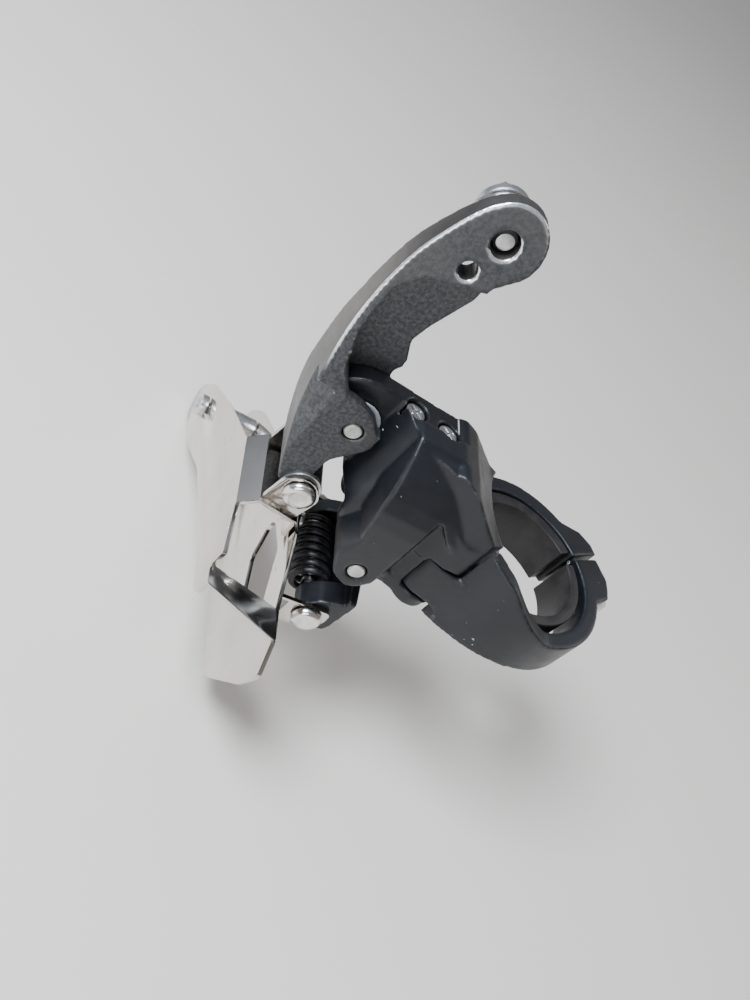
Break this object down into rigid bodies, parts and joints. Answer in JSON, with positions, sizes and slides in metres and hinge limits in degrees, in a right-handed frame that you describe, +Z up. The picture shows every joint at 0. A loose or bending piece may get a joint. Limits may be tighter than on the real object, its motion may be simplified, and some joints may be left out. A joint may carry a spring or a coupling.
{
  "type": "front derailleur",
  "caption": "Seat-tube front derailleur: hinged band clamp, black cast body, cable arm, parallelogram links and a chromed chain cage.",
  "frame": {"origin": "centre of the clamp bore at the clamp's mid height", "axes": "+Z up the seat tube, -Y towards the front of the bicycle, -X outboard towards the chainwheels"},
  "size_m": [0.0915, 0.0968, 0.1198],
  "materials": {
    "satin_black": "satin powder coat",
    "cast_aluminium": "rough cast with polished rim",
    "chromed_steel": "polished chrome",
    "nickel_rivet": "bright nickel",
    "zinc_steel": "zinc plated",
    "dark_plastic": "matt",
    "white_nylon": "satin",
    "black_spring": "oiled black"
  },
  "bodies": {
    "bracket": {"bracket_body": "satin_black", "fixed_shim": "dark_plastic", "clamp_hinge_pin": "zinc_steel", "clamp_nut": "zinc_steel", "outer_link_pin": "zinc_steel", "outer_link_bush": "white_nylon", "inner_link_pin": "zinc_steel", "inner_link_bush": "white_nylon"},
    "clamp_band": {"clamp_band": "satin_black", "hinged_shim": "dark_plastic"},
    "clamp_bolt": {"clamp_bolt": "zinc_steel"},
    "limit_screw_high": {"limit_screw_high": "zinc_steel"},
    "limit_screw_low": {"limit_screw_low": "zinc_steel"},
    "outer_link": {"outer_link": "cast_aluminium", "cable_clamp_plate": "zinc_steel"},
    "cable_anchor": {"cable_anchor_bolt": "zinc_steel", "cable_anchor_washer": "zinc_steel"},
    "inner_link": {"inner_link": "satin_black", "return_spring": "black_spring"},
    "cage": {"cage_outer_plate": "chromed_steel", "cage_inner_plate": "chromed_steel", "cage_outer_rivet": "nickel_rivet", "cage_outer_washer": "zinc_steel", "cage_inner_rivet": "nickel_rivet", "cage_bridge_rivet_front": "nickel_rivet", "cage_bridge_rivet_rear": "nickel_rivet", "cage_tail_screw": "zinc_steel", "cage_tail_spacer": "zinc_steel"}
  },
  "joints": [
    {"name": "outer_link_pivot", "type": "hinge", "parent": "bracket", "child": "outer_link", "pos_m": [-0.0495, 0, 0.0144], "axis": [0, 1, 0], "range_deg": [0, 45], "stiffness_Nm_per_rad": 0.3, "springref_deg": -34.38},
    {"name": "inner_link_pivot", "type": "hinge", "parent": "bracket", "child": "inner_link", "pos_m": [-0.0344, 0, -0.0056], "axis": [0, 1, 0], "range_deg": [0, 45]},
    {"name": "cage_pivot", "type": "hinge", "parent": "outer_link", "child": "cage", "pos_m": [-0.0497, 0, -0.0037], "axis": [0, 1, 0], "range_deg": [-45, 0]},
    {"name": "clamp_hinge", "type": "hinge", "parent": "bracket", "child": "clamp_band", "pos_m": [-0.0202, -0.0082, 0], "axis": [0, 0, -1], "range_deg": [0, 50]},
    {"name": "clamp_bolt_turn", "type": "hinge", "parent": "clamp_band", "child": "clamp_bolt", "pos_m": [0.02049, 0.01044, 0], "axis": [0.454, -0.891, 0], "continuous": true},
    {"name": "limit_screw_high_turn", "type": "hinge", "parent": "bracket", "child": "limit_screw_high", "pos_m": [-0.0412, 0.0038, 0.0244], "axis": [0, 0, 1], "continuous": true},
    {"name": "limit_screw_low_turn", "type": "hinge", "parent": "bracket", "child": "limit_screw_low", "pos_m": [-0.0336, 0.0026, 0.0244], "axis": [0, 0, 1], "continuous": true},
    {"name": "anchor_bolt_turn", "type": "hinge", "parent": "outer_link", "child": "cable_anchor", "pos_m": [-0.0492, 0.014, 0.058], "axis": [0, 1, 0], "continuous": true}
  ],
  "couplings": [
    {"joint": "inner_link_pivot", "follows": "outer_link_pivot", "ratio": 1},
    {"joint": "cage_pivot", "follows": "outer_link_pivot", "ratio": -1}
  ]
}
